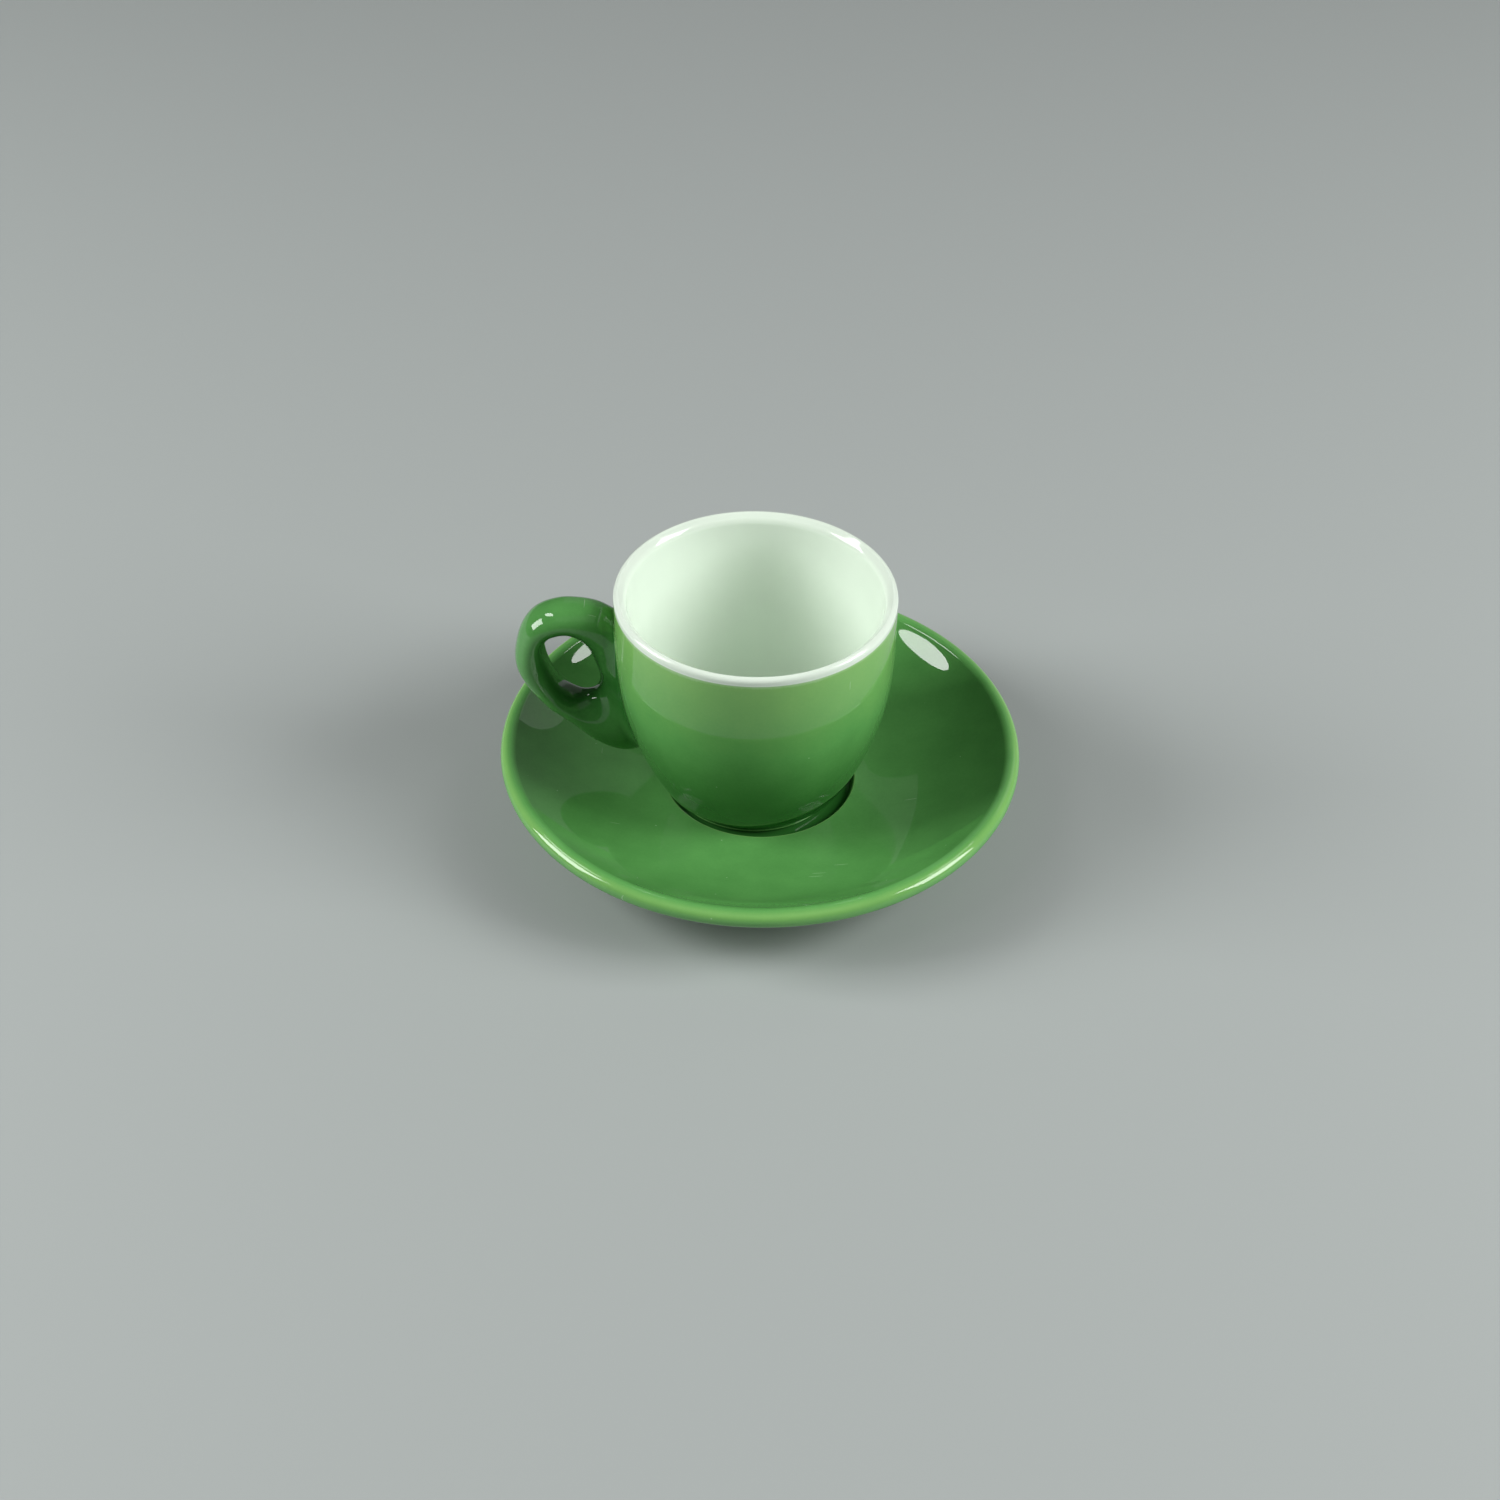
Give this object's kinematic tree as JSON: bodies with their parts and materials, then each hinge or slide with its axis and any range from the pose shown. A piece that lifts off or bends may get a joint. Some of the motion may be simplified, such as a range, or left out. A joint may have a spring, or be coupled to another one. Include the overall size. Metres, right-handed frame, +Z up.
{
  "type": "espresso cup with saucer",
  "caption": "Thick porcelain espresso cup, green outside and white inside, with a closed loop handle, standing loose in the well of a round green saucer.",
  "frame": {"origin": "middle of the saucer's foot ring, on the table", "axes": "+Z up along the saucer's axis, -X towards the cup's handle, the picture's camera looks along +Y and down"},
  "size_m": [0.12, 0.12, 0.0608],
  "materials": {
    "white_porcelain": "gloss",
    "cup_green_glaze": "gloss",
    "handle_green_glaze": "gloss",
    "bare_porcelain": "matte",
    "saucer_green_glaze": "gloss"
  },
  "bodies": {
    "saucer": {"saucer_body": "bare_porcelain", "saucer_glaze": "saucer_green_glaze"},
    "cup": {"cup_body": "white_porcelain", "cup_glaze": "cup_green_glaze", "handle": "handle_green_glaze"}
  },
  "joints": [
    {"name": "cup_lift", "type": "slide", "parent": "saucer", "child": "cup", "axis": [0, 0, 1], "range_m": [0, 0.12]}
  ]
}
